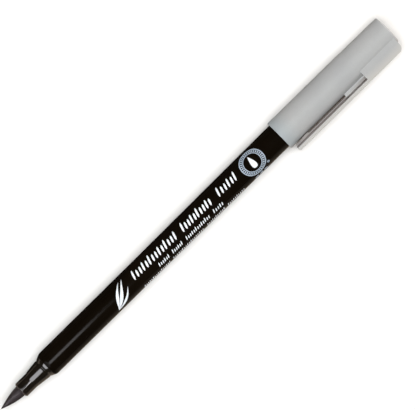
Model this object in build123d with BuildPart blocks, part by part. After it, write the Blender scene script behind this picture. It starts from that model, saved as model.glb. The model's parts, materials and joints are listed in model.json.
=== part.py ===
"""Brush marker with its cap posted on the back of the barrel.

The marker lies along X, with the brush towards -X, the cap's clip towards -Y and +Z up.
The pen's axis is the X axis, and X = 0 is the middle of the straight grip band.
All sizes are in millimetres.
"""

import os
from math import radians, sqrt, tan

from build123d import *

os.makedirs("parts", exist_ok=True)

# Lengths along the axis, from the brush tip to the closed end of the cap
nib_exposed = 7.5  # brush in front of the section
neck_length = 4.6  # straight nose of the section
cone_length = 3.95  # flared part of the section
relief_length = 0.95  # groove between the cone and the collar
collar_length = 0.77  # slanted collar of the section, against the barrel
shoulder_length = 1.13  # rounded front shoulder of the barrel
grip_length = 38.0  # straight band of the barrel
draft_length = 52.9  # widening stretch between the grip band and the posted cap
post_length = 27.0  # end of the barrel that the posted cap covers
cap_length = 43.0

# Radii
nib_radius = 1.70
neck_radius = 2.41
cone_front_radius = 2.50
cone_rear_radius = 2.99
relief_radius = 2.90
collar_front_radius = 3.17
lip_radius = 3.57  # front edge of the barrel and rear edge of the collar
grip_radius = 3.85
post_radius = 4.07
cap_mouth_radius = 4.87
cap_body_radius = 4.80  # behind the mouth's small flare
cap_waist_radius = 4.70  # where it starts to ease down towards the clip's block
cap_step_radius = 4.62  # at the clip's block
cap_end_radius = 4.58

# Fits
press_gap = 0.02  # radial gap of pieces that are pressed together
slide_gap = 0.03  # radial gap of the posted cap on the barrel
flex_gap = 0.05  # gap at the brush's bending point

# Stations along X that several pieces share
grip_front = -grip_length / 2
grip_rear = grip_length / 2
barrel_front = grip_front - shoulder_length
collar_front = barrel_front - collar_length
cone_end = collar_front - relief_length
neck_end = cone_end - cone_length
section_face = neck_end - neck_length
nib_tip = section_face - nib_exposed
cap_mouth = grip_rear + draft_length
barrel_rear = cap_mouth + post_length
cap_end = cap_mouth + cap_length


def dome_radius(half_chord, rise):
    """Radius of the arc that rises by a given amount over half its chord."""
    return (half_chord**2 + rise**2) / (2 * rise)


# ---------------------------------------------------------------- brush
ogive_power = 1.5  # how full the brush's belly is
point_ahead = 0.2  # the belly's curve would end this far ahead of the worn point
flex_ahead = 2.1  # bending point, ahead of the section's face
ball_radius = 1.38  # rounded heel of the bending tip
socket_lip = 0.60  # distance of the socket's rim behind the bending point
root_shank_end = section_face + 7.0
stem_radius = 1.10
stem_end = barrel_front + 14.2
stem_point = 1.6  # length of the stem's tapered end

flex_x = section_face - flex_ahead


def brush_radius(x):
    """Radius of the brush at x, from its worn point to the full radius at the section's face."""
    share = min(1.0, (x - nib_tip + point_ahead) / (nib_exposed + point_ahead))
    return nib_radius * (1 - (1 - share) ** ogive_power)


def brush_outline(start, end, steps):
    """Points on the brush's outline, evenly spaced from start to end."""
    stations = [start + (end - start) * i / steps for i in range(steps + 1)]
    return [(x, brush_radius(x)) for x in stations]


with BuildPart() as brush_tip:
    blunt = 0.04  # the worn point is rounded off over this length
    with BuildSketch(Plane.XY):
        with BuildLine():
            belly = brush_outline(nib_tip + blunt, flex_x, 6)
            Line((nib_tip, 0), belly[0])
            Spline(*belly)
            Line(belly[-1], (flex_x, ball_radius))
            RadiusArc((flex_x, ball_radius), (flex_x + ball_radius, 0), ball_radius)
            Line((flex_x + ball_radius, 0), (nib_tip, 0))
        make_face()
    revolve(axis=Axis.X)

with BuildPart() as brush_root:
    socket_radius = ball_radius + flex_gap
    rim_x = flex_x + socket_lip
    rim_radius = sqrt(socket_radius**2 - socket_lip**2)
    with BuildSketch(Plane.XY):
        with BuildLine():
            collar = brush_outline(rim_x, section_face, 4)
            Line((rim_x, rim_radius), collar[0])
            Spline(*collar)
            Polyline(
                collar[-1],
                (root_shank_end, nib_radius),
                (root_shank_end + nib_radius - stem_radius, stem_radius),
                (stem_end - stem_point, stem_radius),
                (stem_end, stem_radius / 2),
                (stem_end, 0),
                (flex_x + socket_radius, 0),
            )
            RadiusArc((flex_x + socket_radius, 0), (rim_x, rim_radius), -socket_radius)
        make_face()
    revolve(axis=Axis.X)


# ---------------------------------------------------------------- front section
neck_draft = 0.06  # growth of the neck's radius towards the cone
face_chamfer = 0.35
relief_slope = 0.25  # length of each sloping side of the relief groove
spigot_radius = 2.78
spigot_length = 9.0
bead_depth = 6.0  # snap bead, behind the barrel's front edge
bead_width = 0.6
bead_rise = 0.08
nib_bore_radius = nib_radius + 0.08
rear_bore_radius = 1.95
crush_rib_count = 3
crush_rib_width = 0.5
vent_groove_width = 0.7
vent_groove_depth = 0.28

spigot_end = barrel_front + spigot_length
bead_x = barrel_front + bead_depth
collar_rear = barrel_front - press_gap
nib_bore_end = root_shank_end + 0.8

with BuildPart() as front_section:
    with BuildSketch(Plane.XY):
        with BuildLine():
            Polyline(
                (section_face, nib_bore_radius),
                (section_face, neck_radius - face_chamfer),
                (section_face + face_chamfer, neck_radius),
                (neck_end, neck_radius + neck_draft),
                (neck_end, cone_front_radius),
                (cone_end, cone_rear_radius),
                (cone_end + relief_slope, relief_radius),
                (collar_front - relief_slope, relief_radius),
                (collar_front, collar_front_radius),
                (collar_rear, lip_radius),
                (collar_rear, spigot_radius),
                (bead_x - bead_width, spigot_radius),
                (bead_x, spigot_radius + bead_rise),
                (bead_x + bead_width, spigot_radius),
                (spigot_end - face_chamfer, spigot_radius),
                (spigot_end, spigot_radius - face_chamfer),
                (spigot_end, rear_bore_radius),
                (nib_bore_end, rear_bore_radius),
                (nib_bore_end, nib_bore_radius),
                close=True,
            )
        make_face()
    revolve(axis=Axis.X)
    # Crush ribs that hold the brush's shank
    rib_start = section_face + 1.0
    rib_length = root_shank_end - rib_start - 0.5
    rib_height = nib_bore_radius - nib_radius
    with BuildSketch(Plane.YZ.offset(rib_start)):
        with PolarLocations(nib_radius + rib_height / 2 + 0.05, crush_rib_count):
            Rectangle(rib_height + 0.1 - press_gap, crush_rib_width)
    extrude(amount=rib_length)
    # Vent grooves along the spigot, which let air reach the ink core
    with BuildSketch(Plane.YZ.offset(collar_rear)):
        with PolarLocations(spigot_radius + bead_rise, 2, start_angle=90):
            Rectangle(2 * (vent_groove_depth + bead_rise), vent_groove_width)
    extrude(amount=spigot_length + 1, mode=Mode.SUBTRACT)


# ---------------------------------------------------------------- barrel
seat_radius = spigot_radius + press_gap
seat_length = 9.3
bore_radius = 3.10
core_rib_radius = 2.90  # inner edge of the ribs that centre the ink core
core_rib_count = 4
core_rib_width = 0.7
plug_head = 1.2  # thickness of the tail plug's head
plug_spigot = 6.0
tail_chamfer = 0.4

tube_rear = barrel_rear - plug_head
seat_end = barrel_front + seat_length
shoulder_radius = dome_radius(shoulder_length, grip_radius - lip_radius)

with BuildPart() as barrel:
    with BuildSketch(Plane.XY):
        with BuildLine():
            RadiusArc((barrel_front, lip_radius), (grip_front, grip_radius), shoulder_radius)
            Polyline(
                (grip_front, grip_radius),
                (grip_rear, grip_radius),
                (cap_mouth - 1.0, post_radius),
                (tube_rear - tail_chamfer, post_radius),
                (tube_rear, post_radius - tail_chamfer),
                (tube_rear, bore_radius),
                (seat_end + 0.3, bore_radius),
                (seat_end, seat_radius),
                (bead_x + bead_width, seat_radius),
                (bead_x, seat_radius + bead_rise),
                (bead_x - bead_width, seat_radius),
                (barrel_front + 0.15, seat_radius),
                (barrel_front, seat_radius + 0.15),
                (barrel_front, lip_radius),
            )
        make_face()
    revolve(axis=Axis.X)
    # Ribs inside the bore, which centre the ink core and leave air channels
    core_rib_length = tube_rear - plug_spigot - 1.0 - (seat_end + 2.0)
    with BuildSketch(Plane.YZ.offset(seat_end + 2.0)):
        with PolarLocations((core_rib_radius + bore_radius + 0.1) / 2, core_rib_count, start_angle=45):
            Rectangle(bore_radius + 0.1 - core_rib_radius, core_rib_width)
    extrude(amount=core_rib_length)


# ---------------------------------------------------------------- ink core and its film
core_radius = 2.78
film_thickness = 0.08
core_front = spigot_end + 0.2
core_rear = tube_rear - plug_spigot - 0.6
stem_hole_depth = stem_end - core_front + 0.3

with BuildPart() as ink_core:
    with BuildSketch(Plane.YZ.offset(core_front)):
        Circle(core_radius)
    extrude(amount=core_rear - core_front)
    with BuildSketch(Plane.YZ.offset(core_front)):
        Circle(stem_radius + press_gap)
    extrude(amount=stem_hole_depth, mode=Mode.SUBTRACT)

with BuildPart() as core_film:
    film_bore = core_radius + press_gap / 2
    film_setback = 0.5  # the fibre stands out of the film at both ends
    with BuildSketch(Plane.YZ.offset(core_front + film_setback)):
        Circle(film_bore + film_thickness)
        Circle(film_bore, mode=Mode.SUBTRACT)
    extrude(amount=core_rear - core_front - 2 * film_setback)


# ---------------------------------------------------------------- tail plug
plug_radius = bore_radius - press_gap
plug_wall = 0.8
head_radius = post_radius - 0.12
head_crown = 0.35  # how far the head's middle stands out
head_round = 0.3
plug_front = tube_rear - plug_spigot
crown_radius = head_radius - head_round
plug_dome_radius = dome_radius(crown_radius, head_crown)

with BuildPart() as tail_plug:
    with BuildSketch(Plane.XY):
        with BuildLine():
            Polyline(
                (barrel_rear, 0),
                (tube_rear, 0),
                (tube_rear, plug_radius - plug_wall),
                (plug_front, plug_radius - plug_wall),
                (plug_front, plug_radius - 0.2),
                (plug_front + 0.6, plug_radius),
                (tube_rear + press_gap, plug_radius),
                (tube_rear + press_gap, head_radius),
                (barrel_rear - head_crown - head_round, head_radius),
                (barrel_rear - head_crown, crown_radius),
            )
            RadiusArc((barrel_rear - head_crown, crown_radius), (barrel_rear, 0), plug_dome_radius)
        make_face()
    revolve(axis=Axis.X)


# ---------------------------------------------------------------- cap
mouth_bevel = 0.15
mouth_flare = 1.7  # length of the flare at the mouth
crown_rise = 0.55  # how far the closed end's middle stands out
crown_edge = 0.45  # rounding at the closed end's rim
cap_bore_radius = 4.30
cap_bore_draft = 0.12
post_rib_radius = post_radius + slide_gap
post_rib_count = 4
post_rib_width = 0.8
inner_seat_radius = 3.75
cap_end_wall = 1.9
step_x = barrel_rear + 0.25
seat_floor = cap_end - cap_end_wall

# Clip, on the -Y side
clip_reach = 7.13  # from the pen's axis to the clip's outer face
clip_top_width = 5.0  # width of the outer face
clip_flank_angle = 13.7  # how far each flank leans in, from square
plate_thickness = 1.0
plate_tip_setback = 1.3  # distance of the clip's tip from the cap's mouth
web_width = 3.0
web_depth = 0.85  # depth of the rib under the plate
groove_width = 0.55  # groove on each side of the rib, right under the plate
groove_floor = 1.4  # thickness of the rib between its two grooves
block_length = 13.5
block_rear_setback = 0.7
block_corner = 1.6
cap_step_length = 0.9  # the cap eases down a little just ahead of the clip's block
gusset_length = 7.7  # stretch where the web is joined to the cap
clip_edge_round = 0.25

block_rear = cap_end - block_rear_setback
block_front = block_rear - block_length
gusset_front = block_front - gusset_length
clip_tip = cap_mouth + plate_tip_setback
plate_inner = clip_reach - plate_thickness


def clip_half_width(y):
    """Half the clip's width at a distance y from the pen's axis."""
    return clip_top_width / 2 + (clip_reach - y) * tan(radians(clip_flank_angle))


def clip_slice(x, inner, outer):
    """Cross-section of the clip at x, from inner to outer distance from the axis."""
    with BuildSketch(Plane.YZ.offset(x)) as section:
        with BuildLine():
            Polyline(
                (-inner, clip_half_width(inner)),
                (-outer, clip_half_width(outer)),
                (-outer, -clip_half_width(outer)),
                (-inner, -clip_half_width(inner)),
                close=True,
            )
        make_face()
    return section.sketch


def groove_slice(x):
    """Cross-section of the two grooves beside the clip's rib at x."""
    groove_depth = (web_width - groove_floor) / 2
    groove_side = (web_width + groove_floor) / 4
    with BuildSketch(Plane.YZ.offset(x)) as section:
        with GridLocations(0, 2 * groove_side, 1, 2):
            with Locations((-plate_inner + groove_width / 2, 0)):
                Rectangle(groove_width, groove_depth)
    return section.sketch


def long_outer_edges(piece):
    """The edges along the clip's outer face."""
    return piece.edges().filter_by(Axis.X).group_by(Axis.Y)[0]


with BuildPart() as cap_shell:
    with BuildSketch(Plane.XY):
        with BuildLine():
            rim_x = cap_end - crown_rise
            dome_rim = cap_end_radius - crown_edge
            Polyline(
                (cap_mouth, 0),
                (cap_mouth, cap_mouth_radius - mouth_bevel),
                (cap_mouth + mouth_bevel, cap_mouth_radius),
                (cap_mouth + mouth_flare, cap_body_radius),
                (block_front - cap_step_length, cap_waist_radius),
                (block_front, cap_step_radius),
                (rim_x - crown_edge, cap_end_radius),
            )
            RadiusArc((rim_x - crown_edge, cap_end_radius), (rim_x, dome_rim), crown_edge)
            RadiusArc((rim_x, dome_rim), (cap_end, 0), dome_radius(dome_rim, crown_rise))
            Line((cap_end, 0), (cap_mouth, 0))
        make_face()
    revolve(axis=Axis.X)
    # Clip root: a block at the closed end, then a short plate on a gusset
    extrude(clip_slice(block_front, 0, clip_reach), amount=block_length)
    fillet(
        cap_shell.edges().filter_by(Axis.Z).group_by(Axis.Y)[0].sort_by(Axis.X)[-1],
        radius=block_corner,
    )
    extrude(clip_slice(gusset_front, plate_inner, clip_reach), amount=gusset_length)
    with BuildSketch(Plane.YZ.offset(gusset_front)):
        with Locations((-(plate_inner + 3) / 2, 0)):
            Rectangle(plate_inner - 3 + 0.1, web_width)
    extrude(amount=gusset_length)
    extrude(groove_slice(gusset_front), amount=gusset_length, mode=Mode.SUBTRACT)
    fillet(long_outer_edges(cap_shell), radius=clip_edge_round)
    # Bore: a wide part for the barrel and a narrower seat for the inner cap
    with BuildSketch(Plane.XY):
        with BuildLine():
            Polyline(
                (cap_mouth, 0),
                (cap_mouth, cap_bore_radius + mouth_bevel),
                (cap_mouth + mouth_bevel, cap_bore_radius),
                (step_x, cap_bore_radius - cap_bore_draft),
                (step_x, inner_seat_radius),
                (seat_floor, inner_seat_radius),
                (seat_floor, 0),
                close=True,
            )
        make_face()
    revolve(axis=Axis.X, mode=Mode.SUBTRACT)
    # Ribs in the bore, which grip the posted barrel
    post_rib_start = cap_mouth + 3.0
    with BuildSketch(Plane.YZ.offset(post_rib_start)):
        with PolarLocations((post_rib_radius + cap_bore_radius + 0.1) / 2, post_rib_count, start_angle=45):
            Rectangle(cap_bore_radius + 0.1 - post_rib_radius, post_rib_width)
    extrude(amount=step_x - post_rib_start + 0.1)


# ---------------------------------------------------------------- clip arm
arm_gap = 0.02  # cut between the arm and the clip's root
tip_round = 0.55
bump_gap = 0.04  # between the arm's bump and the cap
bump_rear = clip_tip + 5.2  # end of the bump towards the clip's root
bump_length = 1.4
ramp_length = 2.6  # from the bump to the web's normal depth
lead_in = 0.5  # bevel under the tip

arm_root = gusset_front - arm_gap
web_inner = plate_inner - web_depth


def cap_radius(x):
    """Outer radius of the cap at x, behind the mouth's flare and ahead of the clip's block."""
    flare_end = cap_mouth + mouth_flare
    share = (x - flare_end) / (block_front - cap_step_length - flare_end)
    return cap_body_radius + (cap_waist_radius - cap_body_radius) * share


with BuildPart() as clip_arm:
    extrude(clip_slice(clip_tip, plate_inner, clip_reach), amount=arm_root - clip_tip)
    bump_inner = cap_radius(bump_rear - bump_length) + bump_gap
    with BuildSketch(Plane.XY):
        with BuildLine():
            Polyline(
                (clip_tip, -plate_inner - 0.1),
                (clip_tip, -web_inner - lead_in),
                (clip_tip + lead_in, -web_inner),
                (bump_rear - bump_length - ramp_length, -web_inner),
                (bump_rear - bump_length, -bump_inner),
                (bump_rear, -bump_inner),
                (bump_rear, -web_inner),
                (arm_root, -web_inner),
                (arm_root, -plate_inner - 0.1),
                close=True,
            )
        make_face()
    extrude(amount=web_width / 2, both=True)
    extrude(groove_slice(clip_tip), amount=arm_root - clip_tip, mode=Mode.SUBTRACT)
    tip_edge = clip_arm.edges().filter_by(Axis.Z).group_by(Axis.Y)[0].sort_by(Axis.X)[0]
    fillet(tip_edge, radius=tip_round)
    fillet(long_outer_edges(clip_arm), radius=clip_edge_round)


# ---------------------------------------------------------------- inner cap
sleeve_radius = 3.15
seal_radius = neck_radius + neck_draft + 0.02
seal_length = 4.6
chamber_radius = 2.2
inner_flange = 1.3
inner_wall = 0.8
inner_front = step_x + 0.15
inner_rear = seat_floor - press_gap

with BuildPart() as inner_cap:
    with BuildSketch(Plane.XY):
        with BuildLine():
            Polyline(
                (inner_front, seal_radius + 0.3),
                (inner_front, inner_seat_radius - press_gap),
                (inner_front + inner_flange, inner_seat_radius - press_gap),
                (inner_front + inner_flange, sleeve_radius),
                (inner_rear - 0.4, sleeve_radius),
                (inner_rear, sleeve_radius - 0.4),
                (inner_rear, 0),
                (inner_rear - inner_wall, 0),
                (inner_rear - inner_wall, chamber_radius),
                (inner_front + seal_length, chamber_radius),
                (inner_front + seal_length, seal_radius),
                (inner_front + 0.3, seal_radius),
                close=True,
            )
        make_face()
    revolve(axis=Axis.X)


# ---------------------------------------------------------------- labels and files
pieces = {
    "barrel": barrel,
    "front_section": front_section,
    "brush_root": brush_root,
    "brush_tip": brush_tip,
    "ink_core": ink_core,
    "core_film": core_film,
    "tail_plug": tail_plug,
    "cap_shell": cap_shell,
    "clip_arm": clip_arm,
    "inner_cap": inner_cap,
}
for name, piece in pieces.items():
    piece.part.label = name
    export_step(piece.part, f"parts/{name}.step")
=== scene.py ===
"""Looks of a brush marker with its cap posted on the back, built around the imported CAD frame.

The pen lies along X: the brush points to -X, the clip to -Y and +Z is up. Lengths in the
outlines are in millimetres and turn into metres where a mesh is made.
"""

import json
import math
import random

import bmesh
import bpy
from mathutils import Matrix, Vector


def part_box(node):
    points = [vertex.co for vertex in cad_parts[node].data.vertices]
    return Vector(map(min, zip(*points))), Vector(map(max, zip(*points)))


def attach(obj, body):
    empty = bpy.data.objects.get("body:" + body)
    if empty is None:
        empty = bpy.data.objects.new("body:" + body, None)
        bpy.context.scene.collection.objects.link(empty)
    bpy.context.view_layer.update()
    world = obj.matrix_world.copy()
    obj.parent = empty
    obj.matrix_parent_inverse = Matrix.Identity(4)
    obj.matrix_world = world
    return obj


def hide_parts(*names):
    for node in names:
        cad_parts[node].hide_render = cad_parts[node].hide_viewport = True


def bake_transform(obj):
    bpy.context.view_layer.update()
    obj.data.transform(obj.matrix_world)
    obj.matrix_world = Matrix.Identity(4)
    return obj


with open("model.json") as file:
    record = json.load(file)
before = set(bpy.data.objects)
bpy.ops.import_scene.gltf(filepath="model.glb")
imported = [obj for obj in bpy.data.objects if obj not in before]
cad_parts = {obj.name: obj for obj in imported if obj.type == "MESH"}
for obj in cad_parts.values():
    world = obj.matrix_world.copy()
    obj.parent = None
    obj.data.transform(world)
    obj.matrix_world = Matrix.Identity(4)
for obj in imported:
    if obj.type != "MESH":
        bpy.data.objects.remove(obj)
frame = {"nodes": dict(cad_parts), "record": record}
bpy.context.view_layer.update()

MM = 0.001
ROUND_STEP = math.radians(9)  # a rounded corner gets one point per step of its turn
SHARP_ANGLE = math.radians(14)  # edges that turn more than this stay crisp
CORNER_SHARE = 0.49  # the arc in a corner takes at most this share of each side
TURNED_FACETS = 144  # facets round a turned piece


# ---------------------------------------------------------------- places, in mm, from the frame
def low(node):
    """Lowest corner of a CAD node, in mm."""
    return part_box(node)[0] / MM


def high(node):
    """Highest corner of a CAD node, in mm."""
    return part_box(node)[1] / MM


grip = next(m for m in frame["record"]["mounts"] if m["name"] == "grip_band")
grip_radius = grip["dims"]["r_mm"]
grip_rear = grip["dims"]["length_mm"] / 2
grip_front = -grip_rear

nib_tip = low("brush_tip").x
section_face = low("front_section").x
section_rear = high("front_section").x
barrel_front = low("barrel").x
tube_rear = high("barrel").x
post_radius = high("barrel").y
cap_mouth = low("cap_shell").x
cap_end = high("cap_shell").x
mouth_radius = high("cap_shell").y
clip_face = -low("cap_shell").y
clip_tip = low("clip_arm").x
arm_root = high("clip_arm").x
stem_end = high("brush_root").x
nib_radius = high("brush_root").y
floor_height = low("cap_shell").z


# ---------------------------------------------------------------- mesh helpers
def rounded(corners, closed=False):
    """Turns corners (u, v) or (u, v, radius) into points. A corner with a radius becomes an arc."""
    points = []
    count = len(corners)
    for i, corner in enumerate(corners):
        here = Vector(corner[:2])
        radius = corner[2] if len(corner) > 2 else 0
        at_end = not closed and i in (0, count - 1)
        if not radius or at_end:
            points.append(tuple(here))
            continue
        before = Vector(corners[i - 1][:2]) - here
        after = Vector(corners[(i + 1) % count][:2]) - here
        opening = before.angle(after)
        turn = math.pi - opening
        room = CORNER_SHARE * min(before.length, after.length)
        reach = min(radius / math.tan(opening / 2), room)
        radius = reach * math.tan(opening / 2)
        middle = (before.normalized() + after.normalized()).normalized()
        centre = here + middle * radius / math.sin(opening / 2)
        first = here + before.normalized() * reach - centre
        side = 1 if before.cross(after) < 0 else -1
        steps = max(2, math.ceil(turn / ROUND_STEP))
        for k in range(steps + 1):
            angle = side * turn * k / steps
            cos, sin = math.cos(angle), math.sin(angle)
            u = centre.x + first.x * cos - first.y * sin
            v = centre.y + first.x * sin + first.y * cos
            points.append((u, v))
    return points


def finish_mesh(name, bm, sharp=SHARP_ANGLE):
    """Makes an object from a bmesh in mm, with smooth faces and crisp edges."""
    bmesh.ops.recalc_face_normals(bm, faces=bm.faces)
    bmesh.ops.scale(bm, vec=(MM, MM, MM), verts=bm.verts)
    mesh = bpy.data.meshes.new(name)
    bm.to_mesh(mesh)
    bm.free()
    shade(mesh, sharp)
    obj = bpy.data.objects.new(name, mesh)
    bpy.context.scene.collection.objects.link(obj)
    return obj


def shade(mesh, sharp=SHARP_ANGLE):
    """Smooth shading that breaks at edges sharper than the given angle."""
    mesh.shade_smooth()
    mesh.set_sharp_from_angle(angle=sharp)


def bridge(bm, rings, loop=False):
    """Joins neighbouring rings of vertices with faces. A ring of one vertex is a point."""
    pairs = list(zip(rings, rings[1:]))
    if loop:
        pairs.append((rings[-1], rings[0]))
    for a, b in pairs:
        size = max(len(a), len(b))
        for i in range(size):
            j = (i + 1) % size
            corners = [a[i % len(a)], a[j % len(a)], b[j % len(b)], b[i % len(b)]]
            face = list(dict.fromkeys(corners))
            if len(face) > 2:
                bm.faces.new(face)


def lathe_into(bm, outline, segments=TURNED_FACETS, loop=True):
    """Revolves (x, radius) points about the pen's axis. A loop joins the last to the first."""
    rings = []
    for x, radius in outline:
        if radius < 1e-6:  # a point on the axis
            rings.append([bm.verts.new((x, 0, 0))])
            continue
        turns = [2 * math.pi * i / segments for i in range(segments)]
        rings.append([bm.verts.new((x, radius * math.cos(a), radius * math.sin(a))) for a in turns])
    bridge(bm, rings, loop)


def lathe(name, outline, loop=True):
    """An object revolved about the pen's axis."""
    bm = bmesh.new()
    lathe_into(bm, outline, loop=loop)
    return finish_mesh(name, bm)


def loft_into(bm, sections):
    """Skins a row of closed sections, each a list of (x, y, z), and closes both ends."""
    rings = [[bm.verts.new(p) for p in section] for section in sections]
    bridge(bm, rings)
    bm.faces.new(rings[0])
    bm.faces.new(rings[-1])


def loft(name, sections):
    """An object skinned over a row of sections."""
    bm = bmesh.new()
    loft_into(bm, sections)
    return finish_mesh(name, bm)


def combine(target, tool, operation):
    """Boolean of two objects. The tool is used up."""
    modifier = target.modifiers.new("combine", "BOOLEAN")
    modifier.operation = operation
    modifier.solver = "EXACT"
    modifier.object = tool
    bpy.context.view_layer.update()
    evaluated = target.evaluated_get(bpy.context.evaluated_depsgraph_get())
    mesh = bpy.data.meshes.new_from_object(evaluated)
    target.modifiers.clear()
    target.data = mesh
    bpy.data.objects.remove(tool)


def spaced(start, end, step):
    """Evenly spaced numbers from start to end, at most a step apart."""
    count = max(1, math.ceil(abs(end - start) / step))
    return [start + (end - start) * i / count for i in range(count + 1)]


def along(table, x):
    """Value at x of a curve given as a few (x, value) points, straight between them."""
    if x <= table[0][0]:
        return table[0][1]
    for (x0, v0), (x1, v1) in zip(table, table[1:]):
        if x <= x1:
            return v0 + (v1 - v0) * (x - x0) / (x1 - x0)
    return table[-1][1]


# ---------------------------------------------------------------- shader node helpers
class Nodes:
    """An emptied node tree, with short calls to add nodes."""

    def __init__(self, tree):
        self.tree = tree
        tree.nodes.clear()

    def node(self, kind, values=None, **settings):
        """Adds a node. A value is a number, a colour or another node's output."""
        made = self.tree.nodes.new(kind)
        for key, setting in settings.items():
            setattr(made, key, setting)
        for key, value in (values or {}).items():
            socket = made.inputs[key]
            if isinstance(value, bpy.types.NodeSocket):
                self.tree.links.new(value, socket)
            else:
                socket.default_value = value
        return made

    def math(self, operation, a, b=0.0, c=0.0):
        """Arithmetic on values."""
        return self.node("ShaderNodeMath", {0: a, 1: b, 2: c}, operation=operation).outputs[0]

    def times(self, a, b):
        """Product of two values."""
        return self.math("MULTIPLY", a, b)

    def remap(self, value, low_in, high_in, low_out=0.0, high_out=1.0):
        """Moves a value from one range to another, and holds it at the ends."""
        values = {0: value, 1: low_in, 2: high_in, 3: low_out, 4: high_out}
        return self.node("ShaderNodeMapRange", values).outputs[0]

    def mix(self, share, a, b, blend="MIX"):
        """Mixes two colours."""
        made = self.node("ShaderNodeMix", data_type="RGBA", blend_type=blend)
        for index, value in ((0, share), (6, a), (7, b)):
            socket = made.inputs[index]
            if isinstance(value, bpy.types.NodeSocket):
                self.tree.links.new(value, socket)
            elif index == 0:
                socket.default_value = value
            else:
                socket.default_value = (*value, 1.0)
        return made.outputs[2]


class Shader(Nodes):
    """A new material's node tree. Sizes and places are in mm."""

    def __init__(self, name):
        self.material = bpy.data.materials.new(name)
        self.material.use_nodes = True
        super().__init__(self.material.node_tree)
        self.place = self.node("ShaderNodeTexCoord").outputs["Object"]

    def noise(self, size_mm, detail=3, stretch=(1, 1, 1), roughness=0.5):
        """Noise with blobs about size_mm across, longer along an axis with a stretch above 1."""
        scale = [1 / s for s in stretch]
        mapped = self.node("ShaderNodeMapping", {"Vector": self.place, "Scale": scale})
        values = {
            "Vector": mapped.outputs["Vector"],
            "Scale": 1 / (size_mm * MM),
            "Detail": detail,
            "Roughness": roughness,
        }
        return self.node("ShaderNodeTexNoise", values).outputs["Fac"]

    def cells(self, size_mm):
        """Distance from the middle of cells about size_mm across."""
        values = {"Vector": self.place, "Scale": 1 / (size_mm * MM)}
        return self.node("ShaderNodeTexVoronoi", values).outputs["Distance"]

    def ramp(self, axis, start_mm, end_mm, low_out=0.0, high_out=1.0):
        """Goes from one value to another between two places on an axis."""
        place = self.node("ShaderNodeSeparateXYZ", {"Vector": self.place}).outputs[axis]
        return self.remap(place, start_mm * MM, end_mm * MM, low_out, high_out)

    def bump(self, height, depth_mm, normal=None):
        """Bumps whose full height is depth_mm."""
        values = {"Height": height, "Distance": depth_mm * MM}
        if normal is not None:
            values["Normal"] = normal
        return self.node("ShaderNodeBump", values).outputs["Normal"]

    def crevice(self, reach_mm):
        """1 where the surface is open and lower where other surfaces are close."""
        values = {"Distance": reach_mm * MM}
        return self.node("ShaderNodeAmbientOcclusion", values, samples=8).outputs["AO"]

    def edge(self, width_mm):
        """Normal with rounded edges, and a mask that is 1 on them."""
        soft = self.node("ShaderNodeBevel", {"Radius": width_mm * MM}, samples=6).outputs["Normal"]
        hard = self.node("ShaderNodeNewGeometry").outputs["Normal"]
        dot = self.node("ShaderNodeVectorMath", {0: soft, 1: hard}, operation="DOT_PRODUCT")
        return soft, self.remap(dot.outputs["Value"], 0.998, 0.93)

    def surface(self, values):
        """Ends the tree with a surface shader."""
        shader = self.node("ShaderNodeBsdfPrincipled", values)
        self.node("ShaderNodeOutputMaterial", {"Surface": shader.outputs["BSDF"]})
        return self.material


def dress(obj, material):
    """Gives a piece one material."""
    obj.data.materials.clear()
    obj.data.materials.append(material)


# ---------------------------------------------------------------- materials
def painted_shade_under_clip(s):
    """Mask for the painted shade in the dim gap under the clip's plate: 1 all along the web, rising
    along the pad.
    """
    outside_cap = s.ramp("Y", -cap_body_radius - 0.02, -cap_body_radius - 0.10)
    under_plate = s.ramp("Y", -plate_inner - 0.01, -plate_inner + 0.07)
    along_web = s.ramp("X", pad_front, pad_front - 0.2)
    along_pad = s.ramp("X", pad_front + 1.6, block_front)
    before_block = s.ramp("X", block_front + 0.02, block_front)
    length = s.times(s.math("MAXIMUM", along_web, along_pad), before_block)
    return s.times(s.times(outside_cap, under_plate), length)


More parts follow.
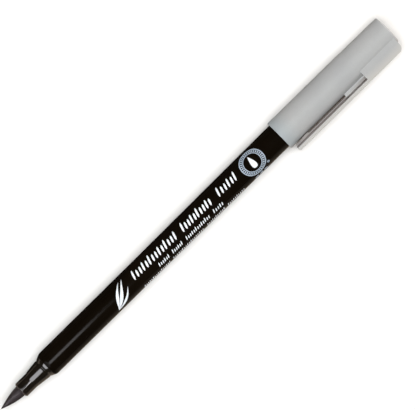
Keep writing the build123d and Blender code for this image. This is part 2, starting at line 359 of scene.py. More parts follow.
def grey_plastic():
    """Satin grey moulding: fine grain, soft sink marks, painted shade in the gaps and under the
    clip, paler worn edges with a painted edge highlight, a painted bluish cast by the mouth and
    painted warmer light towards the clip's outer face.
    """
    s = Shader("satin_grey_plastic")
    blotch = s.noise(9, detail=2)
    fine = s.noise(0.55, detail=4, roughness=0.65)
    grain = s.noise(0.09, detail=2)
    speck = s.remap(s.cells(0.9), 0.10, 0.05)
    scuff = s.remap(s.noise(0.16, detail=3, stretch=(14, 1, 1)), 0.60, 0.72)
    colour = s.mix(s.remap(blotch, 0.35, 0.65), (0.330, 0.335, 0.339), (0.356, 0.359, 0.358))
    colour = s.mix(s.remap(fine, 0.35, 0.65, 0.0, 0.5), colour, (0.320, 0.325, 0.329))
    colour = s.mix(s.times(speck, 0.18), colour, (0.30, 0.29, 0.28))
    # painted light: a bluish cast on the grey near the cap's mouth
    painted_cast_by_mouth = s.ramp("X", cap_mouth + 5.5, cap_mouth, 0.0, 0.8)
    colour = s.mix(painted_cast_by_mouth, colour, (0.290, 0.326, 0.344))
    # painted light: paler, warmer grey towards the clip's outer face
    painted_light_outward = s.ramp("Y", -4.6, -clip_face)
    colour = s.mix(painted_light_outward, colour, (0.425, 0.412, 0.390))
    # painted shade: brown darkening wherever other surfaces are close
    gap = s.remap(s.crevice(1.4), 0.52, 0.12)
    colour = s.mix(s.times(gap, 0.88), colour, (0.10, 0.07, 0.055))
    # painted shade: darker brown grey in the gap under the clip's plate
    colour = s.mix(s.times(painted_shade_under_clip(s), 0.60), colour, (0.14, 0.11, 0.10))
    normal, rim = s.edge(0.13)
    # paler edges: partly wear, partly a painted edge highlight
    colour = s.mix(s.times(rim, 0.45), colour, (0.56, 0.58, 0.59))
    height = s.math("MULTIPLY_ADD", grain, 0.5, s.times(fine, 0.5))
    normal = s.bump(s.noise(5, detail=1), 0.03, normal)
    normal = s.bump(height, 0.004, normal)
    roughness = s.remap(fine, 0.3, 0.7, 0.40, 0.50)
    roughness = s.math("MULTIPLY_ADD", scuff, -0.08, roughness)
    return s.surface(
        {
            "Base Color": colour,
            "Roughness": roughness,
            "Normal": normal,
            "IOR": 1.49,
            "Subsurface Weight": 0.06,
            "Subsurface Radius": (0.6 * MM, 0.6 * MM, 0.7 * MM),
            "Subsurface Scale": 1.0,
        }
    )


def black_satin():
    """The barrel: warm black, with faint turning marks, fine rubs and a duller shoulder."""
    s = Shader("satin_black_plastic")
    blotch = s.noise(12, detail=2)
    rings = s.noise(0.22, detail=3, stretch=(1, 90, 90))
    rubs = s.noise(0.10, detail=2, stretch=(40, 1, 1))
    fine = s.noise(0.12, detail=3)
    dust = s.remap(s.cells(1.4), 0.060, 0.030)
    tone = s.remap(blotch, 0.35, 0.65)
    colour = s.mix(tone, (0.0034, 0.0022, 0.0012), (0.0050, 0.0033, 0.0019))
    colour = s.mix(s.times(dust, 0.05), colour, (0.35, 0.33, 0.30))
    normal, rim = s.edge(0.10)
    colour = s.mix(s.times(rim, 0.10), colour, (0.10, 0.10, 0.10))
    normal = s.bump(s.noise(7, detail=1, stretch=(2, 1, 1)), 0.02, normal)
    height = s.math("MULTIPLY_ADD", rings, 0.6, s.times(fine, 0.4))
    normal = s.bump(height, 0.0016, normal)
    roughness = s.remap(rings, 0.35, 0.65, 0.10, 0.15)
    roughness = s.math("MULTIPLY_ADD", s.remap(rubs, 0.60, 0.72), 0.12, roughness)
    gloss = s.ramp("X", grip_front - 0.5, grip_front + 0.3, 0.015, 0.065)
    return s.surface(
        {
            "Base Color": colour,
            "Roughness": roughness,
            "Normal": normal,
            "Specular IOR Level": gloss,
        }
    )


def black_gloss():
    """The front section: polished warm black with a little wear and dried ink by the brush."""
    s = Shader("gloss_black_plastic")
    blotch = s.noise(3, detail=3)
    fine = s.noise(0.15, detail=3)
    scratch = s.remap(s.noise(0.07, detail=2, stretch=(1, 30, 30)), 0.62, 0.70)
    tone = s.remap(blotch, 0.4, 0.6)
    colour = s.mix(tone, (0.0055, 0.0040, 0.0028), (0.0085, 0.0062, 0.0042))
    by_brush = s.ramp("X", section_face + 0.9, section_face)
    stain = s.times(by_brush, s.remap(s.noise(0.5, detail=4), 0.42, 0.58))
    colour = s.mix(s.times(stain, 0.5), colour, (0.030, 0.022, 0.028))
    normal, rim = s.edge(0.07)
    colour = s.mix(s.times(rim, 0.15), colour, (0.10, 0.10, 0.11))
    normal = s.bump(blotch, 0.003, normal)
    normal = s.bump(fine, 0.0012, normal)
    roughness = s.remap(blotch, 0.3, 0.7, 0.05, 0.09)
    roughness = s.math("MULTIPLY_ADD", scratch, 0.10, roughness)
    roughness = s.math("MULTIPLY_ADD", stain, 0.30, roughness)
    return s.surface(
        {
            "Base Color": colour,
            "Roughness": roughness,
            "Normal": normal,
            "Specular IOR Level": 0.46,
        }
    )


def brush_felt():
    """Ink-soaked felt: fibres along the brush, mottled ink, a damp sheen and a darker point."""
    s = Shader("ink_soaked_felt")
    strand = s.noise(0.05, detail=3, stretch=(26, 1, 1), roughness=0.6)
    clump = s.noise(0.30, detail=3, stretch=(7, 1, 1))
    soak = s.noise(1.3, detail=3)
    to_point = s.ramp("X", nib_tip + 4.5, nib_tip)
    tone = s.remap(soak, 0.35, 0.65)
    colour = s.mix(tone, (0.0100, 0.0066, 0.0070), (0.0170, 0.0115, 0.0125))
    colour = s.mix(s.remap(clump, 0.35, 0.70, 0.0, 0.6), colour, (0.008, 0.0055, 0.0055))
    colour = s.mix(s.remap(strand, 0.52, 0.75, 0.0, 0.5), colour, (0.034, 0.027, 0.029))
    colour = s.mix(s.times(to_point, 0.7), colour, (0.007, 0.0045, 0.0045))
    height = s.math("MULTIPLY_ADD", strand, 0.55, s.times(clump, 0.45))
    normal = s.bump(height, 0.035)
    roughness = s.remap(clump, 0.3, 0.7, 0.42, 0.68)
    return s.surface(
        {
            "Base Color": colour,
            "Roughness": roughness,
            "Normal": normal,
            "Specular IOR Level": 0.22,
            "Sheen Weight": 0.05,
            "Sheen Roughness": 0.45,
            "Sheen Tint": (0.80, 0.72, 0.74, 1),
        }
    )


def print_ink(name, colour, worn):
    """Screen-printed ink: slightly raised, uneven and with tiny pinholes."""
    s = Shader(name)
    cover = s.remap(s.noise(0.11, detail=4, roughness=0.7), 0.33, 0.45)
    tone = s.remap(s.noise(1.1, detail=2), 0.35, 0.65)
    shade_colour = s.mix(tone, [c * 0.86 for c in colour], colour)
    thin = s.mix(cover, worn, shade_colour)
    normal = s.bump(s.noise(0.07, detail=2), 0.004)
    return s.surface(
        {"Base Color": thin, "Roughness": s.remap(cover, 0, 1, 0.35, 0.55), "Normal": normal}
    )


def soft_plastic():
    """Milky inner plastic with flow marks and ink smears."""
    s = Shader("milky_inner_plastic")
    flow = s.noise(1.5, detail=4, stretch=(4, 1, 1))
    smear = s.remap(s.noise(2.2, detail=5), 0.56, 0.70)
    colour = s.mix(s.remap(flow, 0.35, 0.65), (0.66, 0.68, 0.67), (0.78, 0.79, 0.77))
    colour = s.mix(s.times(smear, 0.5), colour, (0.10, 0.09, 0.11))
    normal, rim = s.edge(0.08)
    normal = s.bump(s.noise(0.12, detail=3), 0.003, normal)
    return s.surface(
        {
            "Base Color": s.mix(s.times(rim, 0.3), colour, (0.86, 0.87, 0.86)),
            "Roughness": s.remap(flow, 0.3, 0.7, 0.34, 0.50),
            "Normal": normal,
            "Subsurface Weight": 0.3,
            "Subsurface Radius": (MM, MM, MM),
            "Subsurface Scale": 1.0,
        }
    )


def core_fibre():
    """Bundled fibre soaked in ink."""
    s = Shader("soaked_core_fibre")
    strand = s.noise(0.06, detail=3, stretch=(60, 1, 1), roughness=0.6)
    soak = s.noise(6, detail=3, stretch=(3, 1, 1))
    colour = s.mix(s.remap(soak, 0.35, 0.65), (0.030, 0.024, 0.032), (0.065, 0.055, 0.068))
    colour = s.mix(s.remap(strand, 0.50, 0.75, 0.0, 0.7), colour, (0.16, 0.15, 0.17))
    return s.surface(
        {
            "Base Color": colour,
            "Roughness": s.remap(soak, 0.3, 0.7, 0.5, 0.8),
            "Normal": s.bump(strand, 0.05),
            "Sheen Weight": 0.3,
        }
    )


def clear_film():
    """Thin clear wrap with creases and a little haze."""
    s = Shader("clear_core_film")
    crease = s.noise(0.5, detail=4, stretch=(9, 1, 1))
    haze = s.noise(2.5, detail=3)
    return s.surface(
        {
            "Base Color": s.mix(haze, (0.82, 0.84, 0.86), (0.92, 0.93, 0.94)),
            "Roughness": s.remap(haze, 0.3, 0.7, 0.06, 0.22),
            "Normal": s.bump(crease, 0.03),
            "Transmission Weight": 0.85,
            "IOR": 1.49,
        }
    )


# ---------------------------------------------------------------- barrel and section
lip_radius = 3.57  # the barrel's front edge, flush with the section's collar
lip_round = 0.07  # the front edge is rounded over this length
bore_radius = 3.10
seat_radius = 2.80  # the seat holds the section's spigot
seat_length = 9.3
seat_chamfer = 0.3
barrel_end_round = 0.4
taper_end = cap_mouth - 1.0  # behind this the barrel is straight


def barrel_radius(x):
    """Outer radius of the barrel behind its shoulder."""
    return along([(grip_rear, grip_radius), (taper_end, post_radius)], x)


def build_barrel():
    """The tube with its rounded shoulder, seat and bore."""
    seat_end = barrel_front + seat_length
    length = grip_front - barrel_front
    rise = grip_radius - lip_radius
    turn = (length**2 + rise**2) / (2 * rise)  # radius of the shoulder's arc
    shoulder = [
        (x, grip_radius - turn + math.sqrt(turn**2 - (grip_front - x) ** 2))
        for x in spaced(barrel_front + lip_round, grip_front, 0.09)
    ]
    outline = [
        (barrel_front, lip_radius - 0.05),
        (barrel_front + 0.02, lip_radius - 0.01),
        *shoulder,
        (grip_rear, grip_radius),
        (taper_end, post_radius),
        (tube_rear - barrel_end_round, post_radius, 0.3),
        (tube_rear, post_radius - barrel_end_round, 0.2),
        (tube_rear, bore_radius),
        (seat_end + seat_chamfer, bore_radius),
        (seat_end, seat_radius),
        (barrel_front, seat_radius),
    ]
    barrel = lathe("barrel_tube", rounded(outline))
    dress(barrel, black_satin())
    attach(barrel, "pen")
    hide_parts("barrel")


neck_radius = 2.43
neck_length = 4.6
face_chamfer = 0.38
cone_length = 3.95
cone_front_radius = 2.53
cone_rear_radius = 2.99
relief_length = 0.95  # groove between the cone and the collar
relief_radius = 2.90
collar_front_radius = 3.21
collar_rear_radius = lip_radius - 0.03
spigot_radius = seat_radius - 0.02
spigot_chamfer = 0.35
socket_radius = 1.95  # the hollow in the spigot that takes the ink core
socket_length = 10.9
felt_hole_radius = nib_radius + 0.10


def build_section():
    """The front section: neck, cone, groove, collar and the spigot inside the barrel."""
    neck_end = section_face + neck_length
    cone_end = neck_end + cone_length
    collar_front = cone_end + relief_length
    collar_rear = barrel_front - 0.02
    socket_floor = section_rear - socket_length
    outline = [
        (section_face, felt_hole_radius, 0.05),
        (section_face, neck_radius - face_chamfer, 0.06),
        (section_face + face_chamfer, neck_radius, 0.14),
        (neck_end - 0.50, neck_radius, 1.2),
        (neck_end + 0.30, cone_front_radius, 2.0),
        (cone_end - 0.02, cone_rear_radius, 0.10),
        (cone_end + 0.45, relief_radius, 0.08),
        (collar_front, collar_front_radius, 0.10),
        (collar_rear, collar_rear_radius, 0.05),
        (collar_rear, spigot_radius),
        (section_rear - spigot_chamfer, spigot_radius),
        (section_rear, spigot_radius - spigot_chamfer),
        (section_rear, socket_radius),
        (socket_floor, socket_radius),
        (socket_floor, felt_hole_radius),
    ]
    section = lathe("front_section_nose", rounded(outline, closed=True))
    dress(section, black_gloss())
    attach(section, "pen")
    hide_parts("front_section")


# ---------------------------------------------------------------- brush
felt_radius = nib_radius + 0.04
ogive_power = 1.6
point_ahead = 0.2  # the curve would end this far ahead of the worn point
point_flat = 0.04  # the worn point is cut off over this length
brush_lean = 0.22  # the used point leans a little towards +Y
brush_facets = 72
shank_length = 7.0
shank_cone = 0.6
tail_radius = 1.10
tail_cone = 1.6
flute_count = 4
flute_depth = 0.022  # share of the radius
flute_twist = 0.6  # radians for each mm


def brush_radius(x):
    """Radius of the felt at x."""
    share = min(1.0, (x - nib_tip + point_ahead) / (section_face - nib_tip + point_ahead))
    return felt_radius * (1 - (1 - share) ** ogive_power)


def build_brush():
    """One piece of felt, from its point to the tail in the ink core."""
    shank_end = section_face + shank_length
    stations = spaced(nib_tip + point_flat, section_face, 0.16)
    outline = [(nib_tip, 0.0)] + [(x, brush_radius(x)) for x in stations]
    outline += [
        (shank_end, felt_radius),
        (shank_end + shank_cone, tail_radius),
        (stem_end - tail_cone, tail_radius),
        (stem_end, tail_radius / 2),
        (stem_end, 0.0),
    ]
    bm = bmesh.new()
    lathe_into(bm, outline, segments=brush_facets, loop=False)
    draws = random.Random(4)
    flutes = [
        (draws.choice((3, 5, 7, 11)), draws.uniform(0, 2 * math.pi)) for _ in range(flute_count)
    ]
    for v in bm.verts:
        ahead = max(0.0, (section_face - v.co.x) / (section_face - nib_tip))
        angle = math.atan2(v.co.z, v.co.y)
        twist = v.co.x * flute_twist
        wave = sum(math.sin(n * angle + phase + twist) for n, phase in flutes) / flute_count
        swell = 1 + flute_depth * wave * min(1.0, 3 * ahead)
        v.co.y = v.co.y * swell + brush_lean * ahead**2
        v.co.z *= swell
    brush = finish_mesh("brush_felt", bm, sharp=math.radians(40))
    dress(brush, brush_felt())
    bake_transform(brush)
    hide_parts("brush_root", "brush_tip")


# ---------------------------------------------------------------- cap
lip_chamfer = 0.16
collar_end = cap_mouth + 1.7  # the mouth's collar slims down to the body here
cap_body_radius = 4.80
cap_waist_radius = 4.70
cap_step_radius = 4.62
cap_step_length = 0.9
cap_end_radius = 4.58
cap_bore_radius = 4.30
bore_flare = 0.15  # the bore widens by this at the mouth
bore_step = 0.12  # the bore narrows by this towards the inner cap
inner_seat_radius = 3.75
end_wall = 1.9
crown_rise = 0.38
crown_edge = 0.45
crown_dome = 0.24
crown_radius = 3.9
grip_rib_count = 4
grip_rib_half_width = 0.4
grip_rib_front = cap_mouth + 3.0

clip_half_width = 2.5
clip_edge = 0.25  # rounding of the clip's long outer edges
flank_slope = math.tan(math.radians(13.7))
plate_thickness = 1.0
web_half_width = 1.5
web_depth = 0.85
groove_width = 0.55  # groove on each side of the web, right under the plate
groove_half_floor = 0.7
groove_edge = 0.08
block_rear = cap_end - 0.9
block_front = cap_end - 14.2
block_round = 1.6  # the block's rear outer corner is rounded off over this length
waist_end = block_front - cap_step_length
pad_front = arm_root + 0.02  # the web's fixed end, the pad, starts here
plate_inner = clip_face - plate_thickness
web_inner = plate_inner - web_depth


def half_width(y):
    """Half the clip's width at a distance y from the axis."""
    return clip_half_width + (clip_face - y) * flank_slope


def dome(radius, rise, top):
    """Points of a shallow dome from its rim to the axis."""
    return [(top - rise * (r / radius) ** 2, r) for r in spaced(radius, 0, 0.5)]


def block_ring(x, outer):
    """Closed trapezoid section of the clip's block at x, with rounded outer edges."""
    inner = 1.5  # well inside the cap
    corners = [
        (-inner, half_width(inner)),
        (-outer, half_width(outer), clip_edge),
        (-outer, -half_width(outer), clip_edge),
        (-inner, -half_width(inner)),
    ]
    return [(x, y, z) for y, z in rounded(corners, closed=True)]


def arc_turns(steps):
    """Angles from 0 to a quarter turn."""
    return [math.pi / 2 * k / steps for k in range(steps + 1)]


def cap_outside():
    """The round body of the cap, still solid."""
    rim = cap_end - crown_rise
    outline = [
        (cap_mouth, 0),
        (cap_mouth, mouth_radius - lip_chamfer, 0.05),
        (cap_mouth + lip_chamfer, mouth_radius, 0.10),
        (collar_end, cap_body_radius, 1.0),
        (waist_end, cap_waist_radius, 1.5),
        (block_front, cap_step_radius, 1.5),
        (rim, cap_end_radius, crown_edge),
        (cap_end - crown_dome, crown_radius),
    ]
    crown = dome(crown_radius, crown_dome, cap_end)
    return lathe("cap_moulding", rounded(outline)[:-1] + crown, loop=False)


def clip_block():
    """The solid block that ties the clip to the cap, rounded off at its rear."""
    turns = arc_turns(10)
    stations = [block_front] + [block_rear - block_round * (1 - math.sin(a)) for a in turns]
    outers = [clip_face] + [clip_face - block_round * (1 - math.cos(a)) for a in turns]
    return loft("block", [block_ring(x, outer) for x, outer in zip(stations, outers)])


def clip_pad():
    """The web's fixed end, between the free arm and the block."""
    flange = plate_inner - groove_width
    half = [
        (-3.5, web_half_width),
        (-flange, web_half_width, groove_edge),
        (-flange, groove_half_floor, groove_edge),
        (-plate_inner - 0.01, groove_half_floor),
    ]
    mirrored = [(corner[0], -corner[1], *corner[2:]) for corner in reversed(half)]
    ring = rounded(half + mirrored, closed=True)
    ends = (pad_front, block_front + 0.5)
    return loft("pad", [[(x, y, z) for y, z in ring] for x in ends])


def cap_bore(step):
    """The cap's hollow, which narrows at the step to the inner cap's seat."""
    seat_end = cap_end - end_wall
    outline = [
        (cap_mouth - 1, 0),
        (cap_mouth - 1, cap_bore_radius + bore_flare),
        (cap_mouth, cap_bore_radius + bore_flare),
        (cap_mouth + bore_flare, cap_bore_radius),
        (step, cap_bore_radius - bore_step),
        (step, inner_seat_radius),
        (seat_end, inner_seat_radius),
        (seat_end, 0),
    ]
    return lathe("bore", outline, loop=False)


def grip_ribs_into(bm, step):
    """The ribs in the bore that grip the barrel."""
    inner = post_radius + 0.03
    outer = cap_bore_radius + 0.1
    half = grip_rib_half_width
    for k in range(grip_rib_count):
        turn = 2 * math.pi * (k + 0.5) / grip_rib_count
        cos, sin = math.cos(turn), math.sin(turn)
        ring = [(inner, -half), (outer, -half), (outer, half), (inner, half)]
        section = [(r * cos - t * sin, r * sin + t * cos) for r, t in ring]
        loft_into(bm, [[(x, y, z) for y, z in section] for x in (grip_rib_front, step + 0.1)])


def build_cap():
    """The cap's moulding: shell, clip block, pad, bore and the ribs that grip the barrel."""
    step = low("inner_cap").x - 0.15
    shell = cap_outside()
    combine(shell, clip_block(), "UNION")
    combine(shell, clip_pad(), "UNION")
    combine(shell, cap_bore(step), "DIFFERENCE")
    bm = bmesh.new()
    bm.from_mesh(shell.data)
    bmesh.ops.scale(bm, vec=(1 / MM,) * 3, verts=bm.verts)
    grip_ribs_into(bm, step)
    bmesh.ops.remove_doubles(bm, verts=bm.verts, dist=1e-4)
    bmesh.ops.scale(bm, vec=(MM,) * 3, verts=bm.verts)
    bm.to_mesh(shell.data)
    bm.free()
    shade(shell.data)
    dress(shell, grey_plastic())
    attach(shell, "cap")
    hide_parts("cap_shell")


bump_rear = clip_tip + 5.2
bump_length = 1.4
bump_front = bump_rear - bump_length
ramp_front = bump_front - 2.6
tip_round = 0.55
tip_bevel = 0.5
arm_cut = pad_front + 0.2  # the arm's web ends here, inside the pad
pad_play = 0.02  # the arm is this much slimmer inside the pad


def web_at(x):
    """Distance from the axis to the web's inner edge at x."""
    cap_side = along([(collar_end, cap_body_radius), (waist_end, cap_waist_radius)], x)
    bump_top = cap_side + 0.05
    outline = [
        (clip_tip, web_inner + tip_bevel),
        (clip_tip + tip_bevel, web_inner),
        (ramp_front, web_inner),
        (bump_front, bump_top),
        (bump_rear - 0.08, bump_top),
        (bump_rear, web_inner),
        (arm_cut, web_inner),
        (arm_cut + 0.01, plate_inner - pad_play),
    ]
    return along(outline, x)


def outer_at(x):
    """Distance from the axis to the clip's outer face at x, rounded off at the tip."""
    into = min(tip_round, x - clip_tip)
    return clip_face - tip_round + math.sqrt(tip_round**2 - (tip_round - into) ** 2)


def fixed_round(corners, steps=4):
    """Rounds each corner of a closed outline with the same number of points, whatever its turn."""
    points = []
    count = len(corners)
    for i, (u, v, radius) in enumerate(corners):
        here = Vector((u, v))
        before = Vector(corners[i - 1][:2]) - here
        after = Vector(corners[(i + 1) % count][:2]) - here
        reach = min(radius, CORNER_SHARE * min(before.length, after.length))
        start = here + before.normalized() * reach
        end = here + after.normalized() * reach
        for k in range(steps + 1):
            t = k / steps
            p = start * (1 - t) ** 2 + here * 2 * t * (1 - t) + end * t**2
            points.append((p.x, p.y))
    return points


def arm_ring(x):
    """Closed section of the free arm at x: plate, groove and web. It slims down inside the pad."""
    outer = outer_at(x)
    inner = web_at(x)
    flange = max(plate_inner - groove_width, inner + 0.01)
    web_side = web_half_width if x < pad_front else web_half_width - pad_play
    groove_side = groove_half_floor if x < arm_cut + 0.005 else groove_half_floor - pad_play
    half = [
        (-outer, half_width(outer), clip_edge),
        (-plate_inner, half_width(plate_inner), groove_edge),
        (-plate_inner, groove_side, 0.10),
        (-flange, groove_side, 0.10),
        (-flange, web_side, groove_edge),
        (-inner, web_side, 0.12),
    ]
    corners = half + [(y, -z, radius) for y, z, radius in reversed(half)]
    return [(x, y, z) for y, z in fixed_round(corners)]


def build_clip():
    """The clip's free arm: a plate on a narrower web, with a bump just clear of the cap."""
    tip = [clip_tip + tip_round * (1 - math.cos(a)) for a in arc_turns(6)]
    bends = [clip_tip + 0.8, ramp_front, bump_front, bump_rear - 0.08, bump_rear]
    even = spaced(bump_rear + 0.6, pad_front - 0.5, 0.8)
    root = [pad_front - 0.02, arm_cut, arm_cut + 0.01, block_front]
    arm = loft("clip_arm_moulding", [arm_ring(x) for x in tip + bends + even + root])
    dress(arm, grey_plastic())
    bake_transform(arm)
    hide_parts("clip_arm")


# ---------------------------------------------------------------- printing on the barrel
print_lift = 0.012
faces_across = 4  # a printed stroke follows the barrel's curve in this many steps
dab_heights = (1.0, 0.72, 0.72, 0.9, 0.72)
leaf_root = (nib_tip + 43.3, 4.0)
badge_centre = nib_tip + 99.1
tick_count = 36


def on_barrel(x, arc):
    """Point on the barrel at x, arc mm round from the top towards the clip's side."""
    radius = barrel_radius(x) + print_lift
    angle = arc / barrel_radius(x)
    return (x, -radius * math.sin(angle), radius * math.cos(angle))


def ribbon_into(bm, path, widths, closed=False):
    """A printed stroke along a path of (x, arc) points, with a width at each point."""
    rows = []
    count = len(path)
    for i, (point, width) in enumerate(zip(path, widths)):
        ahead = path[(i + 1) % count] if closed or i < count - 1 else point
        behind = path[i - 1] if closed or i > 0 else point
        way = (Vector(ahead) - Vector(behind)).normalized()
        side = Vector((-way.y, way.x))
        shares = [k / faces_across - 0.5 for k in range(faces_across + 1)]
        row = [Vector(point) + side * width * share for share in shares]
        rows.append([bm.verts.new(on_barrel(p.x, p.y)) for p in row])
    pairs = list(zip(rows, rows[1:])) + ([(rows[-1], rows[0])] if closed else [])
    for a, b in pairs:
        for k in range(faces_across):
            bm.faces.new((a[k], a[k + 1], b[k + 1], b[k]))


def sampled(points, step=0.12):
    """A smooth curve through a few (x, arc) points."""
    out = []
    last = len(points) - 1
    for i in range(last):
        p0, p1, p2, p3 = (Vector(points[min(max(i + k, 0), last)]) for k in (-1, 0, 1, 2))
        steps = max(2, math.ceil((p2 - p1).length / step))
        ends_here = i == last - 1
        for k in range(steps + ends_here):
            t = k / steps
            bend = (2 * p0 - 5 * p1 + 4 * p2 - p3) * t**2
            twist = (3 * p1 - p0 - 3 * p2 + p3) * t**3
            out.append(tuple(0.5 * (2 * p1 + (p2 - p0) * t + bend + twist)))
    return out


def stroke_into(bm, points, width, taper_in, taper_out, thinnest):
    """A brush stroke that swells from its start and thins to its end, over shares of its length."""
    path = sampled(points)
    last = len(path) - 1
    widths = []
    for i in range(last + 1):
        rise = min(1.0, i / last / taper_in)
        fall = min(1.0, (1 - i / last) / taper_out)
        swell = math.sin(math.pi / 2 * rise) * math.sin(math.pi / 2 * fall)
        widths.append(width * max(thinnest, swell))
    ribbon_into(bm, path, widths)


def ring_into(bm, centre, radius, width, arc=0.0):
    """A printed ring."""
    count = max(24, math.ceil(2 * math.pi * radius / 0.15))
    turns = [2 * math.pi * k / count for k in range(count)]
    path = [(centre + radius * math.cos(a), arc + radius * math.sin(a)) for a in turns]
    ribbon_into(bm, path, [width] * count, closed=True)


def print_piece(name, bm, material):
    """Ends a printed piece: it rides on the barrel."""
    piece = finish_mesh(name, bm)
    for polygon in piece.data.polygons:
        if polygon.normal.dot(Vector((0, polygon.center.y, polygon.center.z))) < 0:
            polygon.flip()
    dress(piece, material)
    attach(piece, "pen")


def leaf_into(bm, length, heading, bend, width):
    """A leaf-shaped brush stroke from the root of the leaves. Heading and bend are in degrees."""
    points = []
    for share in (0, 1 / 3, 2 / 3, 1):
        turn = math.radians(heading) + math.radians(bend) * share
        x = leaf_root[0] + length * share * math.cos(turn)
        arc = leaf_root[1] - length * share * math.sin(turn)
        points.append((x, arc))
    stroke_into(bm, points, width, taper_in=0.55, taper_out=0.75, thinnest=0.10)


def dab_row(name, material, words, low_arc, height, pitch, width):
    """A row of slanted dabs, tall and short ones in turn. A word is (start, end) from the point."""
    bm = bmesh.new()
    for start, end in words:
        count = max(2, round((end - start) / pitch))
        gap = (end - start) / count
        for i in range(count):
            x = nib_tip + start + gap * (i + 0.5)
            tall = height * dab_heights[i % len(dab_heights)]
            lean = 0.15 * tall
            points = [(x + lean, low_arc - tall), (x, low_arc - tall / 2), (x - lean, low_arc)]
            stroke_into(bm, points, width, taper_in=0.3, taper_out=0.3, thinnest=0.5)
    print_piece(name, bm, material)


def drop_width(share):
    """Width of the printed drop at a share of its height."""
    return max(0.05, 2.8 * share**0.9 * math.sqrt(max(0.0, 1 - share**3)))


def build_badge(white, pale):
    """A ring of ticks around a drop, with three bars and a small ring under it."""
    bm = bmesh.new()
    ring_into(bm, badge_centre, radius=3.85, width=0.30)
    ring_into(bm, badge_centre, radius=2.75, width=0.24)
    for k in range(tick_count):
        a = 2 * math.pi * k / tick_count
        path = [(badge_centre + r * math.cos(a), r * math.sin(a)) for r in (3.0, 3.3, 3.6)]
        ribbon_into(bm, path, [0.32] * len(path))
    print_piece("print_ring", bm, pale)

    bm = bmesh.new()
    path = sampled([(badge_centre, arc) for arc in (-2.1, -0.7, 0.8, 1.8)])
    last = len(path) - 1
    ribbon_into(bm, path, [drop_width(i / last) for i in range(last + 1)])
    print_piece("print_drop", bm, white)

    bm = bmesh.new()
    for start in (-2.3, -0.6, 1.1):
        bar = [(badge_centre + start, 4.9), (badge_centre + start + 1.2, 4.9)]
        stroke_into(bm, bar, width=0.5, taper_in=0.1, taper_out=0.1, thinnest=0.6)
    ring_into(bm, badge_centre + 3.5, radius=0.28, width=0.22, arc=3.25)
    print_piece("print_under_ring", bm, pale)


def build_print():
    """Plain marks where a maker's lettering would be: leaves, rows of dabs and a badge."""
    white = print_ink("white_print", (0.78, 0.82, 0.88), (0.25, 0.26, 0.28))
    pale = print_ink("blue_grey_print", (0.37, 0.44, 0.53), (0.10, 0.11, 0.12))

    bm = bmesh.new()
    leaf_into(bm, length=8.4, heading=64, bend=-12, width=0.95)
    leaf_into(bm, length=9.2, heading=38, bend=8, width=1.1)
    leaf_into(bm, length=7.4, heading=8, bend=22, width=0.85)
    print_piece("print_leaves", bm, white)

    words = ((52.4, 69.7), (71.6, 83.4), (85.7, 93.4))
    dab_row("print_dabs_main", white, words, low_arc=0.45, height=2.75, pitch=1.22, width=0.56)
    words = ((60.0, 64.2), (65.3, 69.4), (70.7, 80.1), (81.4, 85.4))
    dab_row("print_dabs_second", white, words, low_arc=3.00, height=1.40, pitch=0.74, width=0.32)
    words = ((53.0, 63.3), (64.3, 76.4), (77.7, 84.7), (85.8, 92.5))
    dab_row("print_dabs_fine", white, words, low_arc=5.25, height=1.20, pitch=0.66, width=0.27)
    build_badge(white, pale)


# ---------------------------------------------------------------- stage, with lights in metres
def build_floor():
    """A plain pale floor under the cap's mouth, evenly white far away and dim in reflections."""
    bm = bmesh.new()
    bmesh.ops.create_grid(bm, x_segments=2, y_segments=2, size=1500)
    floor = finish_mesh("floor", bm)
    floor.location.z = (floor_height - 0.02) * MM
    floor.data.materials.append(pale_floor())


def pale_floor():
    """Mottled pale paint. The camera sees warm shade near the pen and a glow far from it."""
    s = Shader("pale_floor")
    tone = s.remap(s.noise(60, detail=3), 0.3, 0.7)
    paint = s.mix(tone, (0.880, 0.866, 0.855), (0.900, 0.886, 0.872))
    shade_near_pen = s.remap(s.crevice(9), 0.46, 0.20)
    seen = s.mix(1.0, paint, (0.90, 0.90, 0.90), "MULTIPLY")
    seen = s.mix(shade_near_pen, seen, (0.22, 0.16, 0.13))
    behind_pen = s.times(s.ramp("Y", -2, 2), s.ramp("X", -32, -29))
    mirrored = s.mix(behind_pen, (0.50, 0.41, 0.33), (0.03, 0.025, 0.02))
    path = s.node("ShaderNodeLightPath").outputs
    colour = s.mix(path["Is Camera Ray"], paint, seen)
    colour = s.mix(path["Is Glossy Ray"], colour, mirrored)
    away = s.node("ShaderNodeVectorMath", {0: s.place}, operation="LENGTH").outputs["Value"]
    glow = s.times(s.remap(away, 0.2, 1.0, 0.0, 0.85), path["Is Camera Ray"])
    return s.surface(
        {
            "Base Color": colour,
            "Roughness": 0.9,
            "Specular IOR Level": 0.1,
            "Emission Color": (1.0, 0.99, 0.98, 1),
            "Emission Strength": glow,
        }
    )


def build_world():
    """A white room for the camera, dimmer and warmer as a light and dark in reflections."""
    world = bpy.data.worlds.new("studio")
    bpy.context.scene.world = world
    world.use_nodes = True
    n = Nodes(world.node_tree)
    path = n.node("ShaderNodeLightPath").outputs
    as_light = n.remap(path["Is Glossy Ray"], 0.0, 1.0, 0.19, 0.03)
    strength = n.math("MAXIMUM", as_light, path["Is Camera Ray"])
    tint = n.mix(path["Is Camera Ray"], (1.0, 0.89, 0.80), (1.0, 0.99, 0.98))
    background = n.node("ShaderNodeBackground", {"Color": tint, "Strength": strength})
    n.node("ShaderNodeOutputWorld", {"Surface": background.outputs[0]})


def area_light(name, place, aim, size, power, colour):
    """A soft round light that faces a point and makes no highlights."""
    data = bpy.data.lights.new(name, "AREA")
    data.shape = "DISK"
    data.size = size
    data.energy = power
    data.color = colour
    light = bpy.data.objects.new(name, data)
    light.location = place
    light.rotation_mode = "QUATERNION"
    light.rotation_quaternion = (Vector(place) - Vector(aim)).to_track_quat("Z", "Y")
    light.visible_glossy = False
    bpy.context.scene.collection.objects.link(light)
    return light


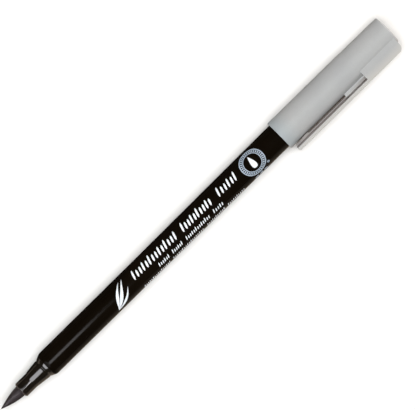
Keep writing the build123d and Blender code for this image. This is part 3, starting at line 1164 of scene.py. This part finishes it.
def highlight_light(name, place, size, power, colour):
    """A light that faces straight down and makes nothing but highlights."""
    light = area_light(name, place, (place[0], place[1], 0), size, power, colour)
    light.visible_glossy = True
    light.visible_diffuse = False
    return light.data


def fade_rim(light, width, power):
    """Fades a round light to nothing at its rim, over a share of its radius."""
    light.use_nodes = True
    n = Nodes(light.node_tree)
    place = n.node("ShaderNodeNewGeometry").outputs["Parametric"]
    centre = (0.5, 0.5, 0.0)
    away = n.node("ShaderNodeVectorMath", {0: place, 1: centre}, operation="DISTANCE")
    inside = n.remap(away.outputs["Value"], 0.5, 0.5 * (1 - width))
    emission = n.node("ShaderNodeEmission", {"Strength": n.math("POWER", inside, power)})
    n.node("ShaderNodeOutputLight", {"Surface": emission.outputs[0]})


def build_lights():
    """A round softbox beyond the brush and a strip beside it make highlights. The rest is soft."""
    softbox = highlight_light(
        "softbox",
        place=(-0.250, 0.006, 0.25),
        size=0.40,
        power=3.5,
        colour=(0.96, 0.96, 1.0),
    )
    fade_rim(softbox, width=0.10, power=2.0)
    strip = highlight_light(
        "strip",
        place=(-0.048, -0.025, 0.25),
        size=0.060,
        power=0.25,
        colour=(0.97, 0.97, 1.0),
    )
    strip.shape = "RECTANGLE"
    strip.size_y = 0.09
    area_light(
        "overhead",
        place=(0.0, -0.07, 1.0),
        aim=(0.04, 0, 0),
        size=0.9,
        power=12.8,
        colour=(0.985, 1.0, 1.0),
    )
    area_light(
        "end_fill",
        place=(0.6, 0.0, 0.04),
        aim=(0.115, 0, 0),
        size=0.3,
        power=4.2,
        colour=(1.0, 0.96, 0.93),
    )
    area_light(
        "front_fill",
        place=(-0.5, 0.0, 0.30),
        aim=(0, 0, 0),
        size=0.3,
        power=0.9,
        colour=(0.86, 0.95, 1.0),
    )


pen_angle = math.radians(44.58)  # how far the pen rises towards the right of the view
view_width = 116.9
view_centre = (43.84, 0.324)
camera_distance = 1200
sensor_width = 36


def build_camera():
    """Looks straight down on the pen."""
    data = bpy.data.cameras.new("camera")
    data.sensor_width = sensor_width
    data.lens = sensor_width * camera_distance / view_width
    data.clip_end = 10
    camera = bpy.data.objects.new("camera", data)
    camera.location = Vector((*view_centre, camera_distance)) * MM
    camera.rotation_euler = (0, 0, -pen_angle)
    bpy.context.scene.collection.objects.link(camera)
    bpy.context.scene.camera = camera


# ---------------------------------------------------------------- build
build_barrel()
build_section()
build_brush()
build_cap()
build_clip()
build_print()
nodes = frame["nodes"]
dress(nodes["tail_plug"], black_gloss())
dress(nodes["inner_cap"], soft_plastic())
dress(nodes["ink_core"], core_fibre())
dress(nodes["core_film"], clear_film())

build_floor()
build_world()
build_lights()
build_camera()
bpy.context.scene.view_settings.view_transform = "Standard"

bpy.context.view_layer.update()
